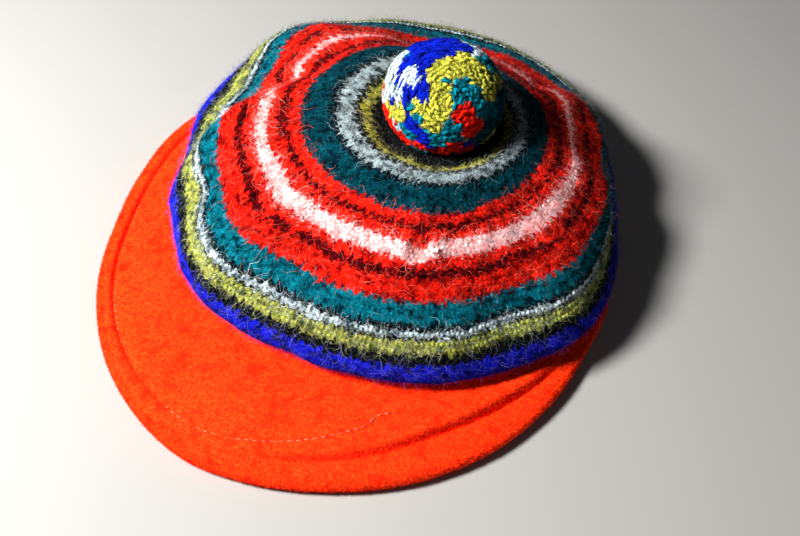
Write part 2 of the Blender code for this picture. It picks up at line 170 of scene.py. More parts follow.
# Folds: azimuth and width in degrees, slant in degrees for each unit along the cloth, start,
# middle and end along the cloth, out and lift as shares of CROWN_RADIUS, and turn in degrees.
CROWN_FOLDS = table(
    "azimuth slant width start middle end out lift turn",
    (-135, 0, 76, 0.64, 1.00, 1.25, 0.085, -0.012, 0),
    (-113, 0, 17, 0.44, 0.74, 1.10, 0.066, 0.012, 0),
    (-84, 0, 21, 0.54, 0.84, 1.05, -0.085, 0.000, 0),
    (-76, 60, 10, 0.40, 0.72, 1.02, -0.060, -0.044, 0),
    (-62, 50, 9, 0.42, 0.68, 0.92, -0.010, 0.044, -3),
    (-63, 0, 17, 0.78, 1.00, 1.20, -0.045, 0.000, 0),
    (-42, 0, 14, 0.74, 0.86, 1.00, -0.036, 0.000, 0),
    (-23, -20, 9, 0.40, 0.66, 0.90, 0.000, -0.050, 0),
    (-17, 0, 25, 0.50, 0.92, 1.25, 0.056, 0.018, 0),
    (-4, 0, 12, 0.52, 0.74, 0.98, -0.034, -0.010, 0),
    (29, 0, 15, 0.34, 0.56, 0.84, 0.030, 0.020, 0),
    (32, 0, 6, 0.50, 0.57, 0.64, -0.014, -0.028, 0),
    (56, 0, 13, 0.66, 0.88, 1.06, -0.036, -0.012, 0),
    (78, 0, 15, 0.50, 0.76, 0.92, 0.026, 0.012, 0),
    (118, 0, 46, 0.72, 0.96, 1.22, -0.125, -0.010, 0),
    (121, 0, 12, 0.45, 0.72, 1.00, -0.022, -0.020, 0),
    (145, 0, 13, 0.40, 0.62, 0.95, 0.026, 0.020, 0),
    (156, 0, 6, 0.50, 0.58, 0.66, -0.014, -0.030, 0),
    (170, 0, 34, 0.30, 0.62, 0.98, -0.032, -0.020, 0),
    (-156, 0, 30, 0.30, 0.60, 0.98, -0.062, -0.055, 0),
)

# Yarn colours: the yarn itself, its deeper patches, and the fibres that stand out of it
Yarn = namedtuple("Yarn", "colour deep fibre", defaults=(None,))
YARNS = {
    "black": Yarn((0.008, 0.010, 0.014), (0.003, 0.004, 0.006), (0.14, 0.16, 0.14)),
    "olive": Yarn((0.46, 0.46, 0.080), (0.050, 0.055, 0.020), (0.42, 0.44, 0.20)),
    "grey": Yarn((0.40, 0.50, 0.53), (0.018, 0.034, 0.044), (0.46, 0.52, 0.54)),
    "white": Yarn((0.52, 0.62, 0.68), (0.07, 0.12, 0.15), (0.60, 0.66, 0.69)),
    # Teal darkened as painted shade: the crown's inner stripe by the pompom, the pompom's right
    # side
    "petrol": Yarn((0.001, 0.068, 0.096), (0.001, 0.010, 0.018), (0.02, 0.14, 0.17)),
    "teal": Yarn((0.003, 0.195, 0.262), (0.001, 0.026, 0.042), (0.02, 0.24, 0.29)),
    "red": Yarn((0.82, 0.021, 0.008), (0.27, 0.002, 0.003), (0.90, 0.18, 0.12)),
    "dark": Yarn((0.105, 0.003, 0.006), (0.022, 0.001, 0.003), (0.50, 0.04, 0.03)),
    "pink": Yarn((0.88, 0.62, 0.63), (0.84, 0.34, 0.34), (0.92, 0.52, 0.51)),
    "yellow": Yarn((0.38, 0.41, 0.080), (0.055, 0.075, 0.025), (0.48, 0.53, 0.34)),
    "lemon": Yarn((0.50, 0.49, 0.075), (0.16, 0.17, 0.035)),
    "royal": Yarn((0.004, 0.018, 0.390), (0.002, 0.008, 0.170)),
    "blue": Yarn((0.014, 0.022, 0.680), (0.004, 0.006, 0.150), (0.15, 0.16, 0.58)),
    "orange": Yarn((0.98, 0.066, 0.009), (0.84, 0.026, 0.004), (0.98, 0.15, 0.05)),
}

# The crown's stripes from its middle out: where each ends along the cloth, its yarn, and how
# thickly long fibres stand on it
STRIPES = table(
    "end yarn fibres",
    (0.233, "black", 0.6),
    (0.264, "olive", 1.2),
    (0.283, "black", 0.6),
    (0.331, "grey", 2.4),
    (0.350, "black", 0.6),
    # The inner teal stripe in the darker copy of teal: painted shade of the dip by the pompom
    (0.440, "petrol", 0.5),
    (0.476, "red", 0.5),
    (0.504, "dark", 0.5),
    (0.542, "red", 0.7),
    (0.600, "pink", 2.0),
    (0.638, "red", 0.7),
    (0.674, "dark", 0.5),
    (0.748, "red", 0.5),
    (0.826, "teal", 0.5),
    (0.842, "black", 0.8),
    (0.864, "white", 2.4),
    (0.872, "black", 0.8),
    (0.916, "yellow", 2.4),
    (0.954, "black", 0.9),
    (1.035, "blue", 1.1),
    (1.500, "orange", 0.5),
)
ALONG_SPAN = STRIPES[-1].end

# The pink band: its middle along the cloth, the azimuth where it is widest and how far it stays
# wide, how much it narrows beyond, and the jog at the join of its rounds
PINK_MIDDLE = 0.5675
PINK_FRONT = 30.0
PINK_WIDE = 55.0
PINK_NARROW = 1.1
JOIN_AZIMUTH = 35.0
JOIN_SPREAD = 13.0
JOIN_JOG = 0.024
JOIN_STOP = 0.509
PINK_FADE = 40.0
PINK_REACH = 0.035

# Where along the cloth the stripes start to waver, and where the jog starts and ends
WANDER_STARTS = (0.10, 0.30)
JOIN_STARTS = (0.50, 0.53)
JOIN_ENDS = (0.60, 0.63)

# Breaks in the thin dark rows: their size in metres, how strong the noise is where the yarn
# outside or inside the row shows instead, and how far beyond the row that yarn is looked for
BREAK_SCALE = 0.0070
BREAK_OUTWARD = 0.08
BREAK_INWARD = 0.45
BREAK_STEP = 0.004

# Layers of noise: height, size of the lumps in metres and seed. Lumps are in metres, wander is
# along the cloth, and waves and patches are shares of a stitch's thickness and of the tone.
CROWN_LUMPS = ((0.0007, 0.016, 3), (0.00035, 0.006, 5))
PEAK_LUMPS = ((0.00035, 0.022, 31), (0.00022, 0.008, 32))
STRIPE_WANDER = ((0.006, 0.034, 11), (0.004, 0.010, 12))
STITCH_WANDER = ((0.0035, 0.004, 14), (0.0035, 0.0013, 15))
STITCH_WAVES = ((0.07, 0.012, 21),)
BAND_PATCHES = ((0.1, 0.006, 51),)
FELT_PATCHES = ((0.12, 0.022, 22), (0.26, 0.0050, 23), (0.30, 0.0022, 24))

# The small knot at the join, in degrees, along the cloth and in metres
KNOT_AZIMUTH = 37.0
KNOT_TURNS = (-0.5, 0.0, 0.5)
KNOT_SLANT = 0.3
KNOT_ALONG = 0.578
KNOT_LENGTH = 0.020
KNOT_RISE = 0.0013
KNOT_YARN = 0.0007
KNOT_SHADE = 1.05

# The first row of stitches along the cloth, and how far a stitch's legs reach below and above
# the middle of their row, as shares of its height
FIRST_ROW = 0.13
LEG_LOW = 0.47
LEG_HIGH = 0.45

# How far from a stitch's middle its legs start and end as shares of its width, how much they
# stray, and how thick they stand out of the felt: at least, and more where a yarn shows plainly
LEG_INSIDE = 0.07
LEG_OUTSIDE = 0.43
LEG_STRAY = 0.07
STITCH_FLAT = 0.11
STITCH_PLUMP = 0.29
PLAIN_YARNS = ("white", "yellow")

# The thin yarn: how much of its row's height the neighbours take on each side, and how much
# thinner its stitches are
THIN_YARN = "dark"
THIN_SHARE = 0.22
THIN_LOSS = 0.45

# Painted shade of the cloth under its stitches, darker where it shows between them, the darker
# tone of its inner side, how much shorter the inner side is, and how far apart on the cloth
# points are taken to find its directions, the turn in degrees
STITCH_GAP_SHADE = 0.62
INNER_SHADE = 0.75
INNER_SHORT = 0.012
FRAME_STEP = 0.004
FRAME_TURN = 0.4

# The peak's edge: its reach as a share of PEAK_DEPTH, and how far it curves up towards its ends as
# a share of PEAK_TIP_RISE
PEAK_ROWS = table(
    "azimuth reach rise",
    (-105, 0.050, 1.0),
    (-98, 0.200, 1.0),
    (-90, 0.325, 0.9),
    (-75, 0.435, 0.6),
    (-60, 0.520, 0.3),
    (-46, 0.620, 0.1),
    (-30, 0.790, 0.0),
    (-15, 0.925, 0.0),
    (0, 1.000, 0.0),
    (10, 0.970, 0.0),
    (22, 0.890, 0.0),
    (34, 0.800, 0.0),
    (47, 0.680, 0.0),
    (60, 0.545, 0.1),
    (75, 0.400, 0.4),
    (90, 0.310, 0.9),
    (98, 0.190, 1.0),
    (105, 0.050, 1.0),
)

# The crease and the sewn channel: their distance inside the edge as a share of PEAK_DEPTH, and
# their depth as a share of the full one
CREASE_ROWS = table(
    "azimuth inset depth",
    (-105, 0.100, 0.00),
    (-60, 0.095, 0.00),
    (-40, 0.090, 0.00),
    (-20, 0.100, 0.00),
    (-6, 0.105, 0.00),
    (8, 0.105, 0.50),
    (22, 0.135, 0.90),
    (37, 0.180, 1.00),
    (50, 0.160, 1.00),
    (62, 0.110, 0.60),
    (72, 0.080, 0.00),
    (105, 0.080, 0.00),
)
CHANNEL_ROWS = table(
    "azimuth inset depth",
    (-105, 0.100, 0.00),
    (-84, 0.098, 1.00),
    (-60, 0.095, 1.00),
    (-40, 0.090, 1.00),
    (-20, 0.100, 0.80),
    (0, 0.140, 0.50),
    (15, 0.210, 0.35),
    (26, 0.290, 0.15),
    (32, 0.350, 0.00),
    (105, 0.350, 0.00),
)
LINE_MOST = 0.6

# Patches of yarn on the pompom as the photo's camera sees it: right and up are shares of its
# radius, size is how far the patch spreads, and later rows lie over earlier ones.
PATCHES = table(
    "right up size yarn",
    (-0.20, 0.97, 0.50, "royal"),
    # Darker teal on the pompom's right side, here and further below: painted shade
    (0.95, -0.10, 0.50, "petrol"),
    (-0.85, -0.50, 0.40, "red"),
    (-0.94, 0.32, 0.42, "white"),
    (-0.45, 0.45, 0.50, "royal"),
    (-0.25, 0.80, 0.30, "royal"),
    (0.12, 0.87, 0.26, "royal"),
    (0.42, 0.84, 0.18, "royal"),
    (-0.40, 0.12, 0.27, "royal"),
    (0.50, -0.10, 0.55, "teal"),
    (0.05, -0.60, 0.34, "teal"),
    (0.05, 0.45, 0.30, "lemon"),
    (0.38, 0.62, 0.26, "lemon"),
    (0.60, 0.44, 0.26, "lemon"),
    (0.76, 0.18, 0.20, "lemon"),
    (-0.05, 0.18, 0.18, "lemon"),
    (-0.03, -0.08, 0.18, "lemon"),
    (-0.20, -0.26, 0.26, "lemon"),
    (-0.14, -0.46, 0.15, "lemon"),
    (-0.40, -0.14, 0.16, "lemon"),
    (-0.78, -0.18, 0.24, "lemon"),
    (0.90, 0.30, 0.16, "olive"),
    (0.06, 0.34, 0.08, "teal"),
    (0.30, 0.20, 0.16, "teal"),
    (0.46, 0.08, 0.20, "teal"),
    (-0.52, -0.12, 0.08, "teal"),
    (-0.42, -0.34, 0.12, "teal"),
    (0.66, -0.60, 0.30, "petrol"),
    (0.34, -0.24, 0.20, "red"),
    (0.47, -0.46, 0.20, "red"),
    (-0.54, 0.40, 0.18, "white"),
    (-0.67, 0.36, 0.07, "white"),
    (-0.46, 0.57, 0.07, "white"),
    (-0.43, 0.31, 0.08, "white"),
    (-0.66, 0.70, 0.12, "white"),
    (-0.80, 0.52, 0.18, "white"),
    (-0.84, 0.32, 0.20, "white"),
    (-0.76, 0.12, 0.17, "white"),
    (-0.96, 0.12, 0.15, "orange"),
    (-0.93, 0.01, 0.10, "white"),
    (-0.82, -0.08, 0.08, "royal"),
    (-0.92, -0.38, 0.15, "red"),
    (-0.74, -0.50, 0.10, "white"),
    (-0.50, -0.45, 0.13, "royal"),
    (-0.32, -0.62, 0.14, "royal"),
    (-0.64, -0.67, 0.16, "red"),
    (-0.40, -0.80, 0.16, "red"),
    (-0.05, -0.92, 0.20, "red"),
    (0.14, -0.82, 0.18, "red"),
    (0.34, -0.88, 0.18, "red"),
)

# Yarns whose strands lie long and smooth on the pompom, round its middle as the camera sees it
SMOOTH_YARNS = ("royal", "white")

# Strands, smooth and short: half their least length and their least radius in metres, and how far
# their directions scatter
SMOOTH_STRAND = (0.0032, 0.00080, 0.10)
SHORT_STRAND = (0.0019, 0.00085, 0.50)

# How much longer and thicker strands get, how far they stand off the pompom's body and tilt, all
# in metres, and how far tufts stray and how strongly and broadly their directions swirl
STRAND_LONGER = 0.0014
STRAND_THICKER = 0.0004
STRAND_LIFT = 0.00045
STRAND_TILT = 0.0003
TUFT_STRAY = 0.016
SWIRL = 0.5
SWIRL_SCALE = 0.4

# Yarns by turns round the pompom's far side
BACK_YARNS = ("royal", "lemon", "red", "teal", "white", "lemon", "red", "teal")

# Limits for the blades of felt: half their width, their length, the height of their feet and the
# lowest of the peak's tips in metres, and how flat they lie
FINE_BLADE = (0.00004, 0.00008)
WIDE_BLADE = (0.00006, 0.00012)
PEAK_BLADE = (0.0007, 0.0020)
POMPOM_BLADE = (0.0008, 0.0020)
CROWN_FEET = (0.0001, 0.0008)
POMPOM_FEET = (0.0, 0.0009)
BLADE_LOWEST = 0.0002
CROWN_LIE = (0.7, 1.2)
PEAK_LIE = (0.45, 0.95)
POMPOM_LIE = (0.3, 0.9)

# Long fibres: lengths, width and foot in metres, limits for how high they stand, how much they
# bend as a whole and waver at each point in radians, where along the cloth they start, and how
# far before its end they stop
FIBRE_SHORTEST = 0.0035
FIBRE_MORE = 0.0085
FIBRE_WIDTH = (0.00006, 0.00010)
FIBRE_FOOT = 0.0004
FIBRE_STAND = (0.4, 1.4)
FIBRE_BEND = 1.6
FIBRE_WAVER = 0.5
FIBRE_START = 0.14
FIBRE_STOP = 0.06

# How much tones vary from one small thing to the next, how much lighter the crown's blades are,
# and the pompom's core, darkened as painted shade in the gaps between its strands
STITCH_TONES = 0.10
CROWN_BLADE_TONES = 0.28
BLADE_TONES = 0.25
FIBRE_TONES = 0.30
STRAND_TONES = 0.16
BLADE_LIGHTER = 0.06
CORE_GAP_SHADE = 0.42

# Wool: its shader's sockets, its mottling, and its deeper patches: how many for each metre, and
# the noise where they start and where they are full
WOOL_SHADER = {
    "Roughness": 0.95,
    "Specular IOR Level": 0.02,
    "Sheen Weight": 0.01,
    "Sheen Roughness": 0.6,
}
MOTTLE_GAIN = 2.3
MOTTLE_DROP = 0.15
STRIPE_PATCHES = (260.0, 0.46, 0.66)
YARN_PATCHES = (420.0, 0.52, 0.74)
PLAIN_PATCHES = (160.0, 0.50, 0.72)

# Stitches of the peak's jersey for each metre
JERSEY_SCALE = 560.0

# How fine the pieces are, and how many of each small thing there are
CROWN_COLUMNS = 440
CROWN_STEPS = 140
INNER_COLUMNS = 120
INNER_STEPS = 48
PEAK_COLUMNS = 330
PEAK_TOP_STEPS = 84
PEAK_EDGE_STEPS = 11
PEAK_BASE_STEPS = 22
BAND_STITCHES = 240
BAND_STEPS = 31
BLADES = 138000
FIBRES = 7500
FIBRE_POINTS = 5
PEAK_BLADES = 60000
EDGE_BLADES = 0.30
TUFTS = 2400
POMPOM_BLADES = 34000

random = np.random.default_rng(41)


# Smooth shapes from short tables

def smoothstep(low, high, value):
    share = np.clip((value - low) / (high - low), 0.0, 1.0)
    return share * share * (3.0 - 2.0 * share)


def smooth_rows(rows, steps):
    """Points on a Catmull-Rom curve through the rows, with steps points for each span."""
    rows = np.asarray(rows, float)
    padded = np.vstack([2 * rows[0] - rows[1], rows, 2 * rows[-1] - rows[-2]])
    points = []
    for before, start, end, after in zip(padded, padded[1:], padded[2:], padded[3:]):
        for step in range(steps):
            t = step / steps
            points.append(0.5 * (
                2 * start
                + (end - before) * t
                + (2 * before - 5 * start + 4 * end - after) * t ** 2
                + (3 * start - 3 * end + after - before) * t ** 3
            ))
    points.append(rows[-1])
    return np.array(points)


def read_rows(rows, azimuth, column):
    """A table's column at an array of azimuths, eased between its rows."""
    places = [row.azimuth for row in rows]
    values = [getattr(row, column) for row in rows]
    fine = smooth_rows(np.column_stack([places, values]), 6)
    return np.interp(azimuth, fine[:, 0], fine[:, 1])


def noise(points, scale, seed):
    """Smooth noise from -1 to 1 at points, with lumps about as large as scale."""
    cells = points / scale + seed * 17.31
    base = np.floor(cells).astype(np.int64)
    part = cells - base
    part = part * part * (3 - 2 * part)
    total = np.zeros(len(points))
    for corner in range(8):
        step = np.array([corner & 1, corner >> 1 & 1, corner >> 2 & 1])
        key = (base + step) @ np.array([73856093, 19349663, 83492791]) + seed * 9176
        key = (key ^ key >> 13) * 1274126177 & 0x7FFFFFFF
        value = (key ^ key >> 16) % 65536 / 32768 - 1
        total += value * np.prod(np.where(step, part, 1 - part), axis=1)
    return total


def layers(points, rows):
    """A sum of noises, one for each row: its height, the size of its lumps and its seed."""
    return sum(height * noise(points, scale, seed) for height, scale, seed in rows)


def vary(spread, *shape):
    """Random numbers around 0, most of them within spread and all within twice that."""
    return spread * random.standard_normal(shape).clip(-2, 2)


def between(limits, *shape):
    """Random numbers between two limits."""
    low, high = limits
    return low + (high - low) * random.random(shape)


def unit(vectors):
    return vectors / np.maximum(np.linalg.norm(vectors, axis=-1, keepdims=True), 1e-12)


def all_round(count):
    """Azimuths of equal steps all the way round."""
    return np.arange(count) * 360 / count


def polar(azimuth, reach, height):
    """Points or directions at azimuths round the axis, by how far out and up they reach."""
    angle = np.radians(azimuth)
    return np.column_stack([reach * np.sin(angle), -reach * np.cos(angle), height])


def grid(rows, columns):
    """Every row with every column, as two long arrays."""
    return [part.ravel() for part in np.meshgrid(rows, columns, indexing="ij")]


# Meshes

def new_piece(name, points, faces, each=1, **values):
    """A smooth object of equal-sided faces.

    Each value becomes a float attribute: one number for every each points, or one for them all.
    """
    faces = np.asarray(faces, np.int32)
    mesh = bpy.data.meshes.new(name)
    mesh.vertices.add(len(points))
    mesh.vertices.foreach_set("co", np.asarray(points, np.float32).ravel())
    mesh.loops.add(faces.size)
    mesh.loops.foreach_set("vertex_index", faces.ravel())
    mesh.polygons.add(len(faces))
    starts = np.arange(0, faces.size, faces.shape[1], dtype=np.int32)
    mesh.polygons.foreach_set("loop_start", starts)
    mesh.polygons.foreach_set("use_smooth", np.full(len(faces), True))
    for key, numbers in values.items():
        layer = mesh.attributes.new(key, "FLOAT", "POINT")
        numbers = np.broadcast_to(np.asarray(numbers, np.float32), len(points) // each)
        layer.data.foreach_set("value", np.repeat(numbers, each))
    mesh.update(calc_edges=True)
    made = bpy.data.objects.new(name, mesh)
    bpy.context.scene.collection.objects.link(made)
    return made


def grid_faces(rows, columns, closed=True, looped=False):
    """Quads of a grid of rows by columns.

    The last column meets the first where it is closed, and the last row the first where looped.
    """
    row, column = grid(
        np.arange(rows if looped else rows - 1),
        np.arange(columns if closed else columns - 1),
    )
    beyond, beside = (row + 1) % rows * columns, (column + 1) % columns
    row = row * columns
    return np.column_stack([row + column, row + beside, beyond + beside, beyond + column])


def repeat_shape(faces, count, points_each):
    """The same small set of faces for count copies that follow each other."""
    start = np.arange(count)[:, None, None] * points_each
    return (np.asarray(faces)[None] + start).reshape(-1, len(faces[0]))


def make_blades(name, foot, across, width, tip, **values):
    """Blades of felt, one thin triangle each."""
    points = np.stack([foot - across * width, foot + across * width, tip], axis=1).reshape(-1, 3)
    return new_piece(name, points, np.arange(len(points)).reshape(-1, 3), 3, **values)


def dress(piece, material, slot, *nodes):
    """Gives a piece its material, hangs it under the root body and hides the solids it replaces.

    The slot is not used.
    """
    piece.data.materials.append(material)
    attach(piece, "root")
    if nodes:
        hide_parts(*nodes)


# The crown's cloth

def cloth_curve():
    """Radius, height, lean and place along the cloth from the middle of the crown to the band."""
    rows = [
        (ring.radius * CROWN_RADIUS, UNDERSIDE + ring.height * CROWN_DEPTH, ring.lean * CROWN_LEAN)
        for ring in CROWN_RINGS
    ]
    steps = 8
    widest = [ring.radius for ring in CROWN_RINGS].index(1.0) * steps
    top = BAND_HEIGHT + GAP
    for ring in UNDER_RINGS:
        radius = CROWN_RADIUS + ring.inward * (BAND_OUTER - CROWN_RADIUS)
        rows.append((radius, UNDERSIDE + ring.rise * (top - UNDERSIDE), ring.lean * CROWN_LEAN))
    curve = smooth_rows(rows, steps)
    curve[:, 0] = np.maximum(curve[:, 0], 0.0)
    curve = np.vstack([curve, (HEAD_RADIUS, top, 0.0)])
    cloth = np.concatenate([[0.0], np.cumsum(np.hypot(*np.diff(curve[:, :2], axis=0).T))])
    return np.column_stack([curve, cloth / cloth[widest]]), cloth[widest]


CLOTH_CURVE, CLOTH_TO_RIM = cloth_curve()
CLOTH_END = CLOTH_CURVE[-1, 3]
KNIT_END = CLOTH_END - 0.01
ROW_STEP = ROW_HEIGHT / CLOTH_TO_RIM


def crown_radius(along):
    return np.interp(along, CLOTH_CURVE[:, 3], CLOTH_CURVE[:, 0])


def crown_place(azimuth, along):
    """Points on the smooth crown, folds included."""
    radius, height, lean = (
        np.interp(along, CLOTH_CURVE[:, 3], column) for column in CLOTH_CURVE[:, :3].T
    )
    out, lift, turn = np.zeros((3, len(radius)))
    for fold in CROWN_FOLDS:
        middle = fold.azimuth + fold.slant * (along - fold.middle)
        across = ((azimuth - middle + 180) % 360 - 180) / fold.width
        ridge = np.clip(1 - across ** 2, 0, None) ** 2
        ridge *= smoothstep(fold.start, fold.middle, along)
        ridge *= 1 - smoothstep(fold.middle, fold.end, along)
        out += fold.out * CROWN_RADIUS * ridge
        lift += fold.lift * CROWN_RADIUS * ridge
        turn += fold.turn * ridge
    points = polar(azimuth + turn, np.where(radius > 0, radius + out, 0.0), height + lift)
    points[:, 0] += lean
    return ROOT + points


def crown_frame(azimuth, along):
    """Points on the felted crown with the directions round it, along it and out of it."""
    place = crown_place(azimuth, along)
    before = crown_place(azimuth, np.maximum(along - FRAME_STEP, 0.0))
    after = crown_place(azimuth, np.minimum(along + FRAME_STEP, CLOTH_END))
    off_middle = np.maximum(along, FRAME_STEP)
    left = crown_place(azimuth - FRAME_TURN, off_middle)
    right = crown_place(azimuth + FRAME_TURN, off_middle)
    around, outward = unit(right - left), unit(after - before)
    normal = unit(np.cross(outward, around))
    return place + normal * layers(place, CROWN_LUMPS)[:, None], around, outward, normal


def stripe_place(azimuth, along, place):
    """Where a stitch lies in the table of stripes.

    Edges waver, the pale pink band narrows away from the front and jogs at its join, and dark
    rows break up.
    """
    moved = along + layers(place, STRIPE_WANDER) * smoothstep(*WANDER_STARTS, along)
    away = np.abs((azimuth - PINK_FRONT + 180) % 360 - 180)
    narrow = PINK_NARROW * smoothstep(PINK_WIDE, PINK_WIDE + PINK_FADE, away)
    moved += narrow * (moved - PINK_MIDDLE) * np.exp(-((moved - PINK_MIDDLE) / PINK_REACH) ** 2)
    before = (JOIN_AZIMUTH - azimuth) % 360
    jog = np.clip(1 - before / JOIN_SPREAD, 0.0, 1.0) * JOIN_JOG
    moved -= jog * smoothstep(*JOIN_STARTS, along) * (1 - smoothstep(*JOIN_ENDS, along))
    moved = np.where(along > JOIN_STOP, np.maximum(moved, JOIN_STOP), moved)
    breaks = noise(place, BREAK_SCALE, 13)
    start = 0.0
    for stripe in STRIPES:
        if stripe.yarn == THIN_YARN:
            inside = (moved > start) & (moved < stripe.end)
            beside = np.where(breaks > BREAK_INWARD, start - BREAK_STEP, stripe.end + BREAK_STEP)
            moved = np.where(inside & (breaks > BREAK_OUTWARD), beside, moved)
        start = stripe.end
    return moved


def knit_rows():
    """Rows of stitches: places along the cloth, edges between them, stitches, and thin yarn."""
    rows = []
    thin = []
    start = FIRST_ROW
    for stripe in STRIPES:
        end = min(stripe.end, KNIT_END)
        if end <= start:
            continue
        count = max(1, round((end - start) * CLOTH_TO_RIM / ROW_HEIGHT))
        rows += [start + (end - start) * (i + 0.5) / count for i in range(count)]
        thin += [float(stripe.yarn == THIN_YARN)] * count
        start = end
    rows = np.array(rows)
    edges = (rows[1:] + rows[:-1]) / 2 + THIN_SHARE * ROW_STEP * np.diff(thin)
    stitches = np.round(2 * math.pi * crown_radius(rows) / STITCH_WIDTH)
    return rows, edges, stitches, np.array(thin)


ROW_ALONG, ROW_EDGES, ROW_STITCHES, ROW_THIN = knit_rows()


def knit_place(azimuth, along, place):
    """The stripe place of the V stitch that a place on the cloth belongs to."""
    loose = along + layers(place, STITCH_WANDER)
    row = np.searchsorted(ROW_EDGES, loose)
    across = np.abs((azimuth * ROW_STITCHES[row] / 360) % 1 * 2 - 1)
    slant = ROW_STEP * (LEG_LOW - (LEG_LOW + LEG_HIGH) * across)
    row = np.searchsorted(ROW_EDGES, loose - slant)
    return stripe_place(azimuth, ROW_ALONG[row], place)


def felt_tone(place):
    """The cloth's tone, which varies in patches of several sizes."""
    return 1.0 + layers(place, FELT_PATCHES)


def make_crown_shell(material):
    """The cloth's outer side with its turned-under rim, and its inner side under that."""
    along, azimuth = grid(np.linspace(0.0, CLOTH_END, CROWN_STEPS), all_round(CROWN_COLUMNS))
    outer, _, _, _ = crown_frame(azimuth, along)
    in_steps = np.linspace(0.0, CLOTH_END - INNER_SHORT, INNER_STEPS)
    in_along, in_azimuth = grid(in_steps, all_round(INNER_COLUMNS))
    place, _, _, normal = crown_frame(in_azimuth, in_along)
    faces = np.vstack([
        grid_faces(CROWN_STEPS, CROWN_COLUMNS),
        grid_faces(INNER_STEPS, INNER_COLUMNS)[:, ::-1] + len(outer),
    ])
    where = np.concatenate([
        knit_place(azimuth, along, outer),
        stripe_place(in_azimuth, in_along, place),
    ])
    # The outer cloth is painted darker: painted shade where it shows between the stitches
    shade = np.concatenate([STITCH_GAP_SHADE * felt_tone(outer), np.full(len(place), INNER_SHADE)])
    points = np.vstack([outer, place - normal * CLOTH])
    crown = new_piece("crown_cloth", points, faces, along=where, shade=shade)
    dress(crown, material, "crown_wool", "crown")


# A spindle of yarn: two tips and rings between them, each ring a place along it and a width, and
# how far its middle stands out of the cloth as a share of its thickness
SPINDLE_RINGS = ((0.28, 0.95), (0.72, 0.95))
SPINDLE_SIDES = 4
SPINDLE_RISE = 0.15


def spindle_faces():
    sides = SPINDLE_SIDES
    faces = []
    for i in range(sides):
        j = (i + 1) % sides
        faces.append((0, 2 + i, 2 + j))
        for ring in range(len(SPINDLE_RINGS) - 1):
            low, high = 2 + ring * sides, 2 + (ring + 1) * sides
            faces += [(low + i, high + i, high + j), (low + i, high + j, low + j)]
        last = 2 + (len(SPINDLE_RINGS) - 1) * sides
        faces.append((1, last + j, last + i))
    return faces


def make_yarn(name, start, end, normal, radius, flat, sink, **values):
    """Plump lengths of yarn from start to end that dip into the cloth at both ends."""
    count = len(start)
    radius, flat = (np.broadcast_to(number, count)[:, None] for number in (radius, flat))
    side = unit(np.cross(end - start, normal)) * radius
    rise = normal * radius
    rings = [start - rise * sink, end - rise * sink]
    for place, width in SPINDLE_RINGS:
        arch = math.sin(math.pi * place)
        centre = start + (end - start) * place + rise * (arch * (sink + SPINDLE_RISE) - sink)
        for turn in np.radians(all_round(SPINDLE_SIDES) + 90):
            ring = side * math.cos(turn) + rise * flat * math.sin(turn)
            rings.append(centre + width * ring)
    points = np.stack(rings, axis=1).reshape(-1, 3)
    faces = repeat_shape(spindle_faces(), count, len(rings))
    return new_piece(name, points, faces, len(rings), **values)


def pale_stripes():
    """Two rows to read between: places along the cloth, and 1 where stitches show plainly."""
    ends = [stripe.end for stripe in STRIPES]
    pale = [float(stripe.yarn in PLAIN_YARNS) for stripe in STRIPES]
    beside = [end + side for end in ends[:-1] for side in (-0.001, 0.001)]
    return [0.0] + beside + ends[-1:], np.repeat(pale, 2)


def make_stitches(material):
    """The knit's V stitches, felted nearly flat, one piece for each side of the V."""
    counts = ROW_STITCHES.astype(int)
    along, turn, thin = (
        np.repeat(row, counts) for row in (ROW_ALONG, 360 / ROW_STITCHES, ROW_THIN)
    )
    azimuth = np.concatenate([all_round(count) for count in ROW_STITCHES]) + 0.5 * turn
    centre, _, _, normal = crown_frame(azimuth, along)
    where = stripe_place(azimuth, along, centre)
    plain = np.interp(where, *pale_stripes())
    flat = STITCH_FLAT + STITCH_PLUMP * plain + layers(centre, STITCH_WAVES)
    tone = felt_tone(centre)
    count = len(azimuth)
    for name, sign in (("crown_stitches_left", -1), ("crown_stitches_right", 1)):
        inside, below, outside, above = vary(LEG_STRAY, 4, count)
        low, _, _, _ = crown_frame(
            azimuth + turn * (sign * LEG_INSIDE + inside),
            along + ROW_STEP * (LEG_LOW + below),
        )
        high, _, _, _ = crown_frame(
            azimuth + turn * (sign * LEG_OUTSIDE + outside),
            along - ROW_STEP * (LEG_HIGH + above),
        )
        radius = YARN_RADIUS * between(YARN_THICKNESS, count) * (1 - THIN_LOSS * thin)
        shade = tone + vary(STITCH_TONES, count)
        legs = make_yarn(
            name, low, high, normal, radius, flat, YARN_SINK,
            along=where, shade=shade,
        )
        dress(legs, material, "crown_wool")


def make_knot(material):
    """The knot that closes the pink rounds: short turns of yarn that stand out of the cloth."""
    azimuth = KNOT_AZIMUTH + np.array(KNOT_TURNS)
    along = np.full(len(azimuth), KNOT_ALONG)
    high, _, _, normal = crown_frame(azimuth + KNOT_SLANT, along - KNOT_LENGTH / 2)
    low, _, _, _ = crown_frame(azimuth - KNOT_SLANT, along + KNOT_LENGTH / 2)
    rise = normal * KNOT_RISE
    knot = make_yarn(
        "crown_knot", high + rise, low + rise, normal, KNOT_YARN, 1.0, YARN_SINK,
        along=PINK_MIDDLE, shade=KNOT_SHADE,
    )
    dress(knot, material, "crown_wool")


def scatter(count, low, high):
    """Places spread evenly over the crown's cloth between two places along it."""
    ring = np.linspace(low, high, 400)
    weight = crown_radius(ring)
    along = np.interp(random.random(count), np.cumsum(weight) / weight.sum(), ring)
    return random.random(count) * 360, along


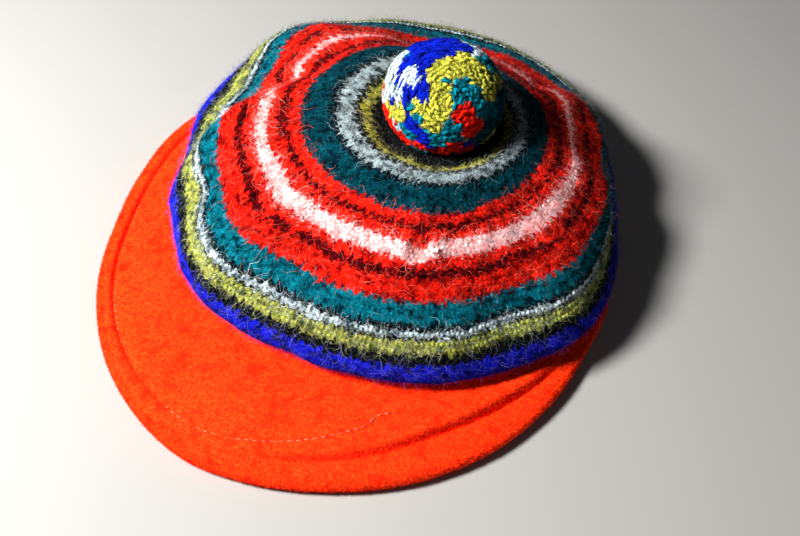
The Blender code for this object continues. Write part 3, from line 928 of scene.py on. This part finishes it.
def make_crown_fuzz(name, material, longest, lie, stray):
    """Blades of felt all over the crown.

    They lie flatter the larger lie is, and their colours stray along the cloth by about stray.
    """
    azimuth, along = scatter(BLADES, FIRST_ROW, KNIT_END)
    place, around, outward, normal = crown_frame(azimuth, along)
    spin = between((0, 2 * math.pi), BLADES, 1)
    flat = around * np.cos(spin) + outward * np.sin(spin)
    lean = np.minimum(lie * between(CROWN_LIE, BLADES, 1), 1.0)
    length = longest * (0.35 + 0.65 * random.random((BLADES, 1)) ** 1.5)
    width = between(FINE_BLADE, BLADES, 1)
    foot = place + normal * between(CROWN_FEET, BLADES, 1)
    tip = foot + (flat * lean + normal * (1.08 - lean)) * length
    where = knit_place(azimuth, along + vary(stray, BLADES), place)
    tone = felt_tone(place) + BLADE_LIGHTER + vary(CROWN_BLADE_TONES, BLADES)
    across = np.cross(normal, flat)
    fuzz = make_blades(name, foot, across, width, tip, along=where, shade=tone)
    dress(fuzz, material, "crown_wool")


def make_strips(name, paths, normals, width, **values):
    """Thin ribbons along paths (fibre, point, xyz) that narrow to their ends."""
    count, steps, _ = paths.shape
    side = unit(np.cross(np.gradient(paths, axis=1), normals))
    taper = 0.35 + 0.65 * np.sin(np.linspace(0.1, math.pi - 0.1, steps))
    half = side * width[:, None, None] / 2 * taper[None, :, None]
    points = np.stack([paths - half, paths + half], axis=2).reshape(-1, 3)
    faces = [(2 * i, 2 * i + 1, 2 * i + 3, 2 * i + 2) for i in range(steps - 1)]
    return new_piece(name, points, repeat_shape(faces, count, 2 * steps), 2 * steps, **values)


def make_crown_fibres(name, material, stand):
    """Long loose fibres that curl over the crown, as thick as each stripe's share says."""
    tries = 4 * FIBRES
    azimuth, along = scatter(tries, FIBRE_START, CLOTH_END - FIBRE_STOP)
    share = np.array([stripe.fibres for stripe in STRIPES])
    stripe = np.searchsorted([stripe.end for stripe in STRIPES[:-1]], along)
    keep = np.flatnonzero(random.random(tries) * share.max() < share[stripe])[:FIBRES]
    azimuth, along = azimuth[keep], along[keep]
    count = len(azimuth)
    radius = np.maximum(crown_radius(along), 0.01)
    length = FIBRE_SHORTEST + FIBRE_MORE * random.random(count) ** 2
    pace = length / (FIBRE_POINTS - 1)
    heading = between((0, 2 * math.pi), count)
    bend = FIBRE_BEND * random.standard_normal(count)
    height = stand * between(FIBRE_STAND, count)
    turns, places = [azimuth], [along]
    for step in range(1, FIBRE_POINTS):
        angle = heading + bend * step / FIBRE_POINTS
        angle += FIBRE_WAVER * random.standard_normal(count)
        turns.append(turns[-1] + np.degrees(pace * np.cos(angle) / radius))
        onward = places[-1] + pace * np.sin(angle) / CLOTH_TO_RIM
        places.append(np.clip(onward, 0.05, CLOTH_END - 0.02))
    turns, places = (np.stack(rows, axis=1).ravel() for rows in (turns, places))
    place, _, _, normal = crown_frame(turns, places)
    place, normal = (part.reshape(count, FIBRE_POINTS, 3) for part in (place, normal))
    arc = np.sin(np.linspace(0.15, math.pi * 0.92, FIBRE_POINTS))
    rise = FIBRE_FOOT + height[:, None] * arc
    width = between(FIBRE_WIDTH, count)
    where = knit_place(azimuth, along, place[:, 0])
    tone = 1.0 + vary(FIBRE_TONES, count)
    paths = place + normal * rise[:, :, None]
    fibres = make_strips(name, paths, normal, width, along=where, shade=tone)
    dress(fibres, material, "crown_wool")


# The peak

def line_inset(rows, azimuth, length):
    return np.minimum(read_rows(rows, azimuth, "inset") * PEAK_DEPTH, LINE_MOST * length)


def peak_length(azimuth):
    return read_rows(PEAK_ROWS, azimuth, "reach") * PEAK_DEPTH


def peak_heights(azimuth, inside):
    """Upper and lower side of the peak at azimuths and distances inside its edge."""
    length = peak_length(azimuth)
    edge = PEAK_HALF + read_rows(PEAK_ROWS, azimuth, "rise") * PEAK_TIP_RISE
    share = np.clip(inside / length, 0.0, 1.0)
    middle = edge + (PEAK_ROOT_HEIGHT - edge) * share + PEAK_ARCH * 4 * share * (1 - share)
    depth = np.maximum(read_rows(CREASE_ROWS, azimuth, "depth"), 0.0)
    inset = line_inset(CREASE_ROWS, azimuth, length)
    step_end = inset + CREASE_WIDTH
    under_crown = np.maximum(PEAK_ROOT_RADIUS + length - CROWN_RADIUS, step_end + CREASE_WIDTH)
    step = smoothstep(inset - CREASE_WIDTH / 2, step_end, inside)
    fade = 1 - smoothstep(step_end, under_crown, inside)
    groove = np.exp(-((inside - inset) / (CREASE_WIDTH / 3)) ** 2)
    crease = depth * (CREASE_STEP * step * fade - CREASE_GROOVE * groove)
    channel_depth = np.maximum(read_rows(CHANNEL_ROWS, azimuth, "depth"), 0.0)
    channel_inset = line_inset(CHANNEL_ROWS, azimuth, length)
    seam = np.exp(-((inside - channel_inset) / (CHANNEL_WIDTH / 2)) ** 2)
    channel = channel_depth * CHANNEL_GROOVE * seam
    rolled = np.maximum(depth, channel_depth)
    line = np.where(depth > channel_depth, inset, channel_inset)
    puff = rolled * RIM_PUFF * np.sin(math.pi * np.clip(inside / line, 0.0, 1.0))
    top = middle + PEAK_HALF + crease - channel + puff
    bottom = np.maximum(middle - PEAK_HALF + np.maximum(crease, 0.0), 0.0)
    return top, bottom


def peak_points(azimuth, inside, height):
    return ROOT + polar(azimuth, PEAK_ROOT_RADIUS + peak_length(azimuth) - inside, height)


def peak_lumps(azimuth, inside):
    """Small unevenness of the padding."""
    return layers(peak_points(azimuth, inside, np.zeros_like(azimuth)), PEAK_LUMPS)


def make_peak_cloth(material):
    """The padded peak as one closed loft, finest towards its rounded edge."""
    tip = PEAK_ROWS[-1].azimuth
    azimuth = np.linspace(-tip, tip, PEAK_COLUMNS)
    length = peak_length(azimuth)
    nose = np.minimum(PEAK_HALF, length / 4)
    rows = []
    for share in np.linspace(1.0, 0.0, PEAK_TOP_STEPS) ** 1.5:
        inside = nose + share * (length - nose)
        rows.append((inside, peak_heights(azimuth, inside)[0] + peak_lumps(azimuth, inside)))
    top, bottom = rows[-1][1], peak_heights(azimuth, nose)[1]
    for turn in np.linspace(math.pi / 2, -math.pi / 2, PEAK_EDGE_STEPS)[1:-1]:
        height = (top + bottom) / 2 + (top - bottom) / 2 * math.sin(turn)
        rows.append((nose - nose * math.cos(turn), height))
    for share in np.linspace(0.0, 1.0, PEAK_BASE_STEPS):
        inside = nose + share * (length - nose)
        rows.append((inside, peak_heights(azimuth, inside)[1]))
    inside, height = (np.concatenate(part) for part in zip(*rows))
    points = peak_points(np.tile(azimuth, len(rows)), inside, height)
    faces = grid_faces(len(rows), PEAK_COLUMNS, closed=False, looped=True)[:, ::-1]
    peak = new_piece("peak_cloth", points, faces, shade=1.0)
    dress(peak, material, "peak_wool", "peak")


def make_peak_fuzz(material):
    """Short felt blades over the peak's upper side, and more along its edge."""
    tip = PEAK_ROWS[-1].azimuth - 1
    tries = 4 * PEAK_BLADES
    azimuth = between((-tip, tip), tries)
    length = peak_length(azimuth)
    share = random.random(tries)
    room = length * (PEAK_ROOT_RADIUS + length * (1 - share))
    most = PEAK_DEPTH * (PEAK_ROOT_RADIUS + PEAK_DEPTH)
    keep = np.flatnonzero(random.random(tries) < room / most)[:PEAK_BLADES]
    azimuth, inside = azimuth[keep], (length * share)[keep]
    count = len(azimuth)
    nose = np.minimum(PEAK_HALF, peak_length(azimuth) / 4)
    edge = random.random(count) < EDGE_BLADES
    tilt = np.where(edge, random.random(count) * math.pi * 0.8, 0.0)
    inside = np.where(edge, nose * (1 - np.sin(tilt)), np.maximum(inside, nose))
    top, _ = peak_heights(azimuth, np.maximum(inside, nose))
    drop = np.where(edge, PEAK_HALF * (1 - np.cos(tilt)), 0.0)
    foot = peak_points(azimuth, inside, top - drop + peak_lumps(azimuth, inside))
    stand = polar(azimuth, np.sin(tilt), np.cos(tilt))
    spin = unit(random.standard_normal((count, 3)))
    flat = unit(spin - stand * np.sum(spin * stand, axis=1, keepdims=True))
    lean = between(PEAK_LIE, count, 1)
    size = between(PEAK_BLADE, count, 1)
    width = between(WIDE_BLADE, count, 1)
    end = foot + (flat * lean + stand * (1.05 - lean)) * size
    end[:, 2] = np.maximum(end[:, 2], BLADE_LOWEST)
    tone = 1.0 + vary(BLADE_TONES, count)
    fuzz = make_blades("peak_fuzz", foot, np.cross(stand, flat), width, end, shade=tone)
    dress(fuzz, material, "peak_wool")


def make_topstitching(material):
    """The thread in the peak's channel: short stitches sunk in the groove."""
    azimuth = np.linspace(*THREAD_SPAN, THREAD_STITCHES + 1)
    inset = line_inset(CHANNEL_ROWS, azimuth, peak_length(azimuth))
    top, _ = peak_heights(azimuth, inset)
    sunk = THREAD * (THREAD_RISE - THREAD_DROP * read_rows(CHANNEL_ROWS, azimuth, "depth"))
    line = peak_points(azimuth, inset, top + sunk)
    first, last = (line[:-1] + (line[1:] - line[:-1]) * share for share in THREAD_STITCH)
    up = np.array([0.0, 0.0, 1.0])
    stitches = make_yarn(
        "peak_topstitching", first, last, up, THREAD, YARN_ROUND, THREAD_SINK, shade=1.0,
    )
    dress(stitches, material, "peak_wool")


# The head band

def make_band(material):
    """The knitted band: ribs of stitches outside, plain inside, flat below."""
    columns = BAND_STITCHES * 2
    azimuth = all_round(columns)
    wave = np.cos(np.radians(azimuth) * BAND_STITCHES)
    heights = np.linspace(0.0, BAND_HEIGHT, BAND_STEPS)
    rows = []
    for height in heights:
        row_wave = BAND_ROW_WAVE * math.cos(2 * math.pi * height / BAND_RIB)
        rows.append((BAND_OUTER - BAND_ROW_WAVE + BAND_WAVE * wave + row_wave, height))
    for height in heights[::-5]:
        rows.append((HEAD_RADIUS + BAND_WAVE / 2 * wave, height))
    points = ROOT + np.vstack([
        polar(azimuth, radius, np.full(columns, height)) for radius, height in rows
    ])
    faces = grid_faces(len(rows), columns, looped=True)
    band = new_piece("band_knit", points, faces, shade=1.0 + layers(points, BAND_PATCHES))
    dress(band, material, "band_wool", "head_band")


# The pompom

def camera_axes():
    """Right, up and back of the photo's camera."""
    azimuth, elevation, roll = np.radians((CAMERA_AZIMUTH, CAMERA_ELEVATION, CAMERA_ROLL))
    level = np.array([math.cos(azimuth), math.sin(azimuth), 0.0])
    forth = np.array([math.sin(azimuth), -math.cos(azimuth), 0.0])
    back = forth * math.cos(elevation) + np.array([0.0, 0.0, math.sin(elevation)])
    upright = np.cross(back, level)
    right = math.cos(roll) * level + math.sin(roll) * upright
    up = math.cos(roll) * upright - math.sin(roll) * level
    return right, up, back


def camera_place():
    right, up, back = camera_axes()
    sight = right * CAMERA_AIM[0] + up * CAMERA_AIM[1] - back
    return CAMERA_TARGET - sight * CAMERA_DISTANCE


def pompom_axes():
    """Right, up and towards the camera from the pompom's centre."""
    _, up, _ = camera_axes()
    ahead = unit(camera_place() - POMPOM_CENTRE)
    up = unit(up - ahead * (up @ ahead))
    return np.cross(up, ahead), up, ahead


def pompom_points(directions, out):
    """Points in directions from the pompom's centre, out metres beyond its body."""
    return POMPOM_CENTRE + directions * POMPOM_SHAPE * (POMPOM_RADIUS + out)[:, None]


def patch_directions():
    """Each patch's direction from the pompom's centre."""
    right, up, back = pompom_axes()
    directions = []
    for patch in PATCHES:
        ahead = math.sqrt(max(1 - patch.right ** 2 - patch.up ** 2, 0.02))
        directions.append(patch.right * right + patch.up * up + ahead * back)
    return unit(np.array(directions))


def tuft_yarns(directions):
    """The yarn of each tuft: the last patch that reaches it, or a yarn by turns round the back."""
    names = list(YARNS)
    around = np.arctan2(directions[:, 0], -directions[:, 1]) + 0.9 * directions[:, 2]
    share = around / (2 * math.pi) + 0.05 * noise(directions, 0.5, 61)
    sector = np.floor(share * len(BACK_YARNS)).astype(int) % len(BACK_YARNS)
    chosen = np.array([names.index(BACK_YARNS[s]) for s in sector])
    wobble = 0.05 * noise(directions, 0.22, 62)
    for patch, centre in zip(PATCHES, patch_directions()):
        away = np.linalg.norm(directions - centre, axis=1) + wobble
        chosen = np.where(away < patch.size, names.index(patch.yarn), chosen)
    return chosen


def ball_directions(count):
    """Directions spread evenly over a ball by the golden angle."""
    place = np.arange(count)
    height = 1.0 - 2.0 * (place + 0.5) / count
    ring = np.sqrt(1.0 - height ** 2)
    turn = place * math.pi * (3.0 - math.sqrt(5.0))
    return np.column_stack([ring * np.cos(turn), ring * np.sin(turn), height])


def make_pompom(material):
    """Felted yarn packed round a core: short plump strands, and long smooth ones that swirl."""
    directions = ball_directions(TUFTS) + TUFT_STRAY * random.standard_normal((TUFTS, 3))
    directions = unit(directions)
    directions = directions[directions[:, 2] > POMPOM_LOWEST]
    count = len(directions)
    chosen = tuft_yarns(directions)
    smooth = np.isin(chosen, [list(YARNS).index(yarn) for yarn in SMOOTH_YARNS])
    half, radius, loose = (np.where(smooth, *pair) for pair in zip(SMOOTH_STRAND, SHORT_STRAND))
    _, _, back = pompom_axes()
    swirl = np.column_stack([noise(directions, SWIRL_SCALE, seed) for seed in (71, 72, 73)])
    flow = unit(np.cross(back, directions)) + SWIRL * swirl
    flow += loose[:, None] * random.standard_normal((count, 3))
    flow = unit(flow - directions * np.sum(flow * directions, axis=1, keepdims=True))
    base = pompom_points(directions, vary(STRAND_LIFT, count) - POMPOM_NAP)
    radius = radius + STRAND_THICKER * random.random(count)
    half = half + STRAND_LONGER * random.random(count)
    tilt = STRAND_TILT * random.standard_normal((count, 1))
    ends = flow * half[:, None] + directions * tilt
    tone = 1.0 + vary(STRAND_TONES, count)
    pompom = make_yarn(
        "pompom_yarn", base - ends, base + ends, directions, radius, YARN_ROUND, YARN_SINK,
        yarn=chosen, shade=tone,
    )
    dress(pompom, material, "pompom_yarn", "pompom")


def make_pompom_fuzz(material):
    """Short felt blades all over the pompom."""
    directions = unit(random.standard_normal((POMPOM_BLADES, 3)))
    directions = directions[directions[:, 2] > POMPOM_LOWEST]
    count = len(directions)
    flat = unit(np.cross(directions, unit(random.standard_normal((count, 3)))))
    lean = between(POMPOM_LIE, count, 1)
    size = between(POMPOM_BLADE, count, 1)
    foot = pompom_points(directions, between(POMPOM_FEET, count) - POMPOM_NAP)
    end = foot + (flat * lean + directions * (1 - lean)) * size
    width = between(WIDE_BLADE, count, 1)
    across = np.cross(directions, flat)
    chosen, tone = tuft_yarns(directions), 1.05 + vary(BLADE_TONES, count)
    fuzz = make_blades("pompom_fuzz", foot, across, width, end, yarn=chosen, shade=tone)
    dress(fuzz, material, "pompom_yarn")


def make_pompom_core(material):
    """The felted body of the pompom, seen between its strands and painted darker as their shade.
    """
    rows, columns = 60, 110
    tilt, turn = np.radians(grid(np.linspace(0.0, 138.0, rows), all_round(columns)))
    directions = np.column_stack([
        np.sin(tilt) * np.cos(turn),
        np.sin(tilt) * np.sin(turn),
        np.cos(tilt),
    ])
    points = pompom_points(directions, 0.0004 * noise(directions, 0.09, 74) - POMPOM_NAP)
    faces = grid_faces(rows, columns)
    core = new_piece("pompom_core", points, faces, yarn=tuft_yarns(directions), shade=CORE_GAP_SHADE)
    dress(core, material, "pompom_yarn")


# Materials

def node(tree, kind, *first, **named):
    """A new node: its options are set, then its sockets, to constants or to other sockets.

    First values go to its first sockets. A name is an option's or a socket's, whose spaces are
    written as underscores.
    """
    made = tree.nodes.new("ShaderNode" + kind)
    for name in [name for name in named if hasattr(made, name)]:
        setattr(made, name, named.pop(name))
    sockets = list(zip(made.inputs, first))
    sockets += [(made.inputs[name.replace("_", " ")], value) for name, value in named.items()]
    for socket, value in sockets:
        if isinstance(value, bpy.types.NodeSocket):
            tree.links.new(value, socket)
        else:
            socket.default_value = value
    return made


def attribute(tree, name):
    return node(tree, "Attribute", attribute_name=name).outputs["Fac"]


def math_node(tree, operation, first, second):
    return node(tree, "Math", first, second, operation=operation).outputs[0]


def texture(tree, scale, detail=2.0):
    """Noise in the object's own metres."""
    place = node(tree, "TexCoord").outputs["Object"]
    return node(tree, "TexNoise", Vector=place, Scale=scale, Detail=detail).outputs["Fac"]


def ramp(tree, place, stops):
    """A colour ramp whose colours hold from one stop to the next."""
    made = node(tree, "ValToRGB", Fac=place)
    made.color_ramp.interpolation = "CONSTANT"
    elements = made.color_ramp.elements
    while len(elements) > 1:
        elements.remove(elements[-1])
    elements[0].position = 0.0
    elements[0].color = (*stops[0][1], 1.0)
    for position, colour in stops[1:]:
        elements.new(position).color = (*colour, 1.0)
    return made.outputs["Color"]


def mix_colours(tree, factor, first, second):
    return node(tree, "Mix", data_type="RGBA", Factor=factor, A=first, B=second).outputs["Result"]


def patches(tree, scale, low, high):
    """Soft patches from 0 to 1 of noise."""
    value = texture(tree, scale)
    return node(tree, "MapRange", Value=value, From_Min=low, From_Max=high).outputs["Result"]


def wool(name, colour_of, relief=None):
    """A matte wool: a colour, shaded by the piece's own tone and by fine mottling."""
    material = bpy.data.materials.new(name)
    material.use_nodes = True
    tree = material.node_tree
    shader = tree.nodes["Principled BSDF"]
    mottle = math_node(tree, "MULTIPLY", texture(tree, 900.0, 3.0), MOTTLE_GAIN)
    mottle = math_node(tree, "SUBTRACT", mottle, MOTTLE_DROP)
    mottle = math_node(tree, "MAXIMUM", mottle, 0.05)
    tone = math_node(tree, "MAXIMUM", attribute(tree, "shade"), 0.1)
    tone = math_node(tree, "MULTIPLY", tone, mottle)
    mix = node(tree, "VectorMath", colour_of(tree), operation="SCALE", Scale=tone)
    tree.links.new(mix.outputs["Vector"], shader.inputs["Base Color"])
    for socket, value in WOOL_SHADER.items():
        shader.inputs[socket].default_value = value
    if relief:
        bump = node(tree, "Bump", Strength=0.25, Distance=0.0004, Height=relief(tree))
        tree.links.new(bump.outputs["Normal"], shader.inputs["Normal"])
    return material


def stripe_colour(parts, waver):
    """The stripes' colours by place along the cloth: one part of each yarn, or two in patches."""
    starts = [0.0] + [stripe.end / ALONG_SPAN for stripe in STRIPES[:-1]]

    def colour_of(tree):
        ragged = math_node(tree, "SUBTRACT", texture(tree, 520.0, 1.0), 0.5)
        ragged = math_node(tree, "MULTIPLY", ragged, waver)
        place = math_node(tree, "ADD", attribute(tree, "along"), ragged)
        share = math_node(tree, "DIVIDE", place, ALONG_SPAN)
        colours = []
        for part in parts:
            shown = [getattr(YARNS[stripe.yarn], part) for stripe in STRIPES]
            colours.append(ramp(tree, share, list(zip(starts, shown))))
        if len(colours) == 1:
            return colours[0]
        return mix_colours(tree, patches(tree, *STRIPE_PATCHES), *colours)
    return colour_of


def yarn_colour(tree):
    """The yarns' colours by their number, with deeper patches."""
    number = math_node(tree, "ADD", attribute(tree, "yarn"), 0.5)
    share = math_node(tree, "DIVIDE", number, len(YARNS))
    starts = [i / len(YARNS) for i in range(len(YARNS))]
    colours = []
    for part in ("colour", "deep"):
        shown = [getattr(yarn, part) for yarn in YARNS.values()]
        colours.append(ramp(tree, share, list(zip(starts, shown))))
    return mix_colours(tree, patches(tree, *YARN_PATCHES), *colours)


def plain_colour(colour, deep):
    """One colour with deeper patches."""
    def colour_of(tree):
        return mix_colours(tree, patches(tree, *PLAIN_PATCHES), (*colour, 1.0), (*deep, 1.0))
    return colour_of


def stitch_dots(tree):
    """Distance from the middle of the nearest of many small loose stitches."""
    place = node(tree, "TexCoord").outputs["Object"]
    dots = node(tree, "TexVoronoi", Vector=place, Scale=JERSEY_SCALE, Randomness=0.8)
    return dots.outputs["Distance"]


def jersey_colour(tree):
    """Orange jersey: painted shade in the gaps between its small stitches, and deeper soft
    patches.
    """
    orange = YARNS["orange"]
    gaps = node(tree, "MapRange", Value=stitch_dots(tree), From_Min=0.30, From_Max=0.75)
    # Painted shade: the deep orange in the gaps between the stitches
    gap_shade = math_node(tree, "MULTIPLY", gaps.outputs["Result"], 0.75)
    plain = plain_colour(orange.colour, orange.deep)(tree)
    return mix_colours(tree, gap_shade, plain, (*orange.deep, 1.0))


def jersey_relief(tree):
    """Height of felted jersey: small plump stitches under a fine nap."""
    nap = math_node(tree, "MULTIPLY", texture(tree, 1200.0, 3.0), 1.2)
    return math_node(tree, "SUBTRACT", nap, stitch_dots(tree))


# Studio

def make_camera():
    data = bpy.data.cameras.new("camera")
    data.lens = CAMERA_LENS
    data.sensor_width = CAMERA_SENSOR
    data.clip_start = 0.01
    camera = bpy.data.objects.new("camera", data)
    bpy.context.scene.collection.objects.link(camera)
    turned = Matrix(camera_axes()).transposed().to_4x4()
    camera.matrix_world = Matrix.Translation(Vector(camera_place())) @ turned
    bpy.context.scene.camera = camera


def make_light(row):
    """A round light that shines on the hat from its place in the table."""
    data = bpy.data.lights.new(row.name, "AREA")
    data.shape = "DISK"
    data.size = row.size
    data.energy = row.power
    data.color = row.colour
    light = bpy.data.objects.new(row.name, data)
    bpy.context.scene.collection.objects.link(light)
    right, _, back = camera_axes()
    front = np.array([back[0], back[1], 0.0]) / math.hypot(back[0], back[1])
    place = ROOT + right * row.right + front * row.front + np.array([0.0, 0.0, row.up])
    light.location = place
    aim = Vector(ROOT + np.array([0.0, 0.0, LIGHT_AIM]) - place)
    light.rotation_mode = "QUATERNION"
    light.rotation_quaternion = aim.to_track_quat("-Z", "Y")


def make_studio():
    """A plain pale floor, a soft key light from the photo's left and a weak fill."""
    corners = [(-3.0, -3.0, 0.0), (3.0, -3.0, 0.0), (3.0, 3.0, 0.0), (-3.0, 3.0, 0.0)]
    floor = new_piece("floor", corners, [(0, 1, 2, 3)])
    floor.location.z = -0.0002
    material = bpy.data.materials.new("floor")
    material.use_nodes = True
    shader = material.node_tree.nodes["Principled BSDF"]
    shader.inputs["Base Color"].default_value = FLOOR_COLOUR
    shader.inputs["Roughness"].default_value = 0.9
    floor.data.materials.append(material)
    for row in LIGHTS:
        make_light(row)
    world = bpy.data.worlds.new("studio")
    world.use_nodes = True
    background = world.node_tree.nodes["Background"]
    background.inputs["Color"].default_value = WORLD_COLOUR
    background.inputs["Strength"].default_value = WORLD_STRENGTH
    scene = bpy.context.scene
    scene.world = world
    scene.view_settings.view_transform = "Standard"
    scene.view_settings.gamma = 0.85


def main():
    make_camera()
    knit = wool("crown_knit", stripe_colour(("colour", "deep"), 0.006))
    fibre = wool("crown_fibre", stripe_colour(("fibre",), 0.0))
    make_crown_shell(knit)
    make_stitches(knit)
    make_knot(knit)
    make_crown_fuzz("crown_fuzz_short", knit, 0.0014, 0.6, 0.0055)
    make_crown_fuzz("crown_fuzz_long", knit, 0.0030, 0.9, 0.0105)
    make_crown_fibres("crown_fibres_low", fibre, 0.0009)
    make_crown_fibres("crown_fibres_high", fibre, 0.0024)
    orange = YARNS["orange"]
    peak_colour = plain_colour(orange.colour, orange.deep)
    make_peak_cloth(wool("peak_jersey", jersey_colour, jersey_relief))
    make_peak_fuzz(wool("peak_fuzz", peak_colour))
    make_topstitching(wool("peak_thread", plain_colour(THREAD_COLOUR, orange.colour)))
    make_band(wool("band_knit", peak_colour))
    yarn = wool("pompom_wool", yarn_colour)
    make_pompom(yarn)
    make_pompom_fuzz(yarn)
    make_pompom_core(yarn)
    make_studio()


main()
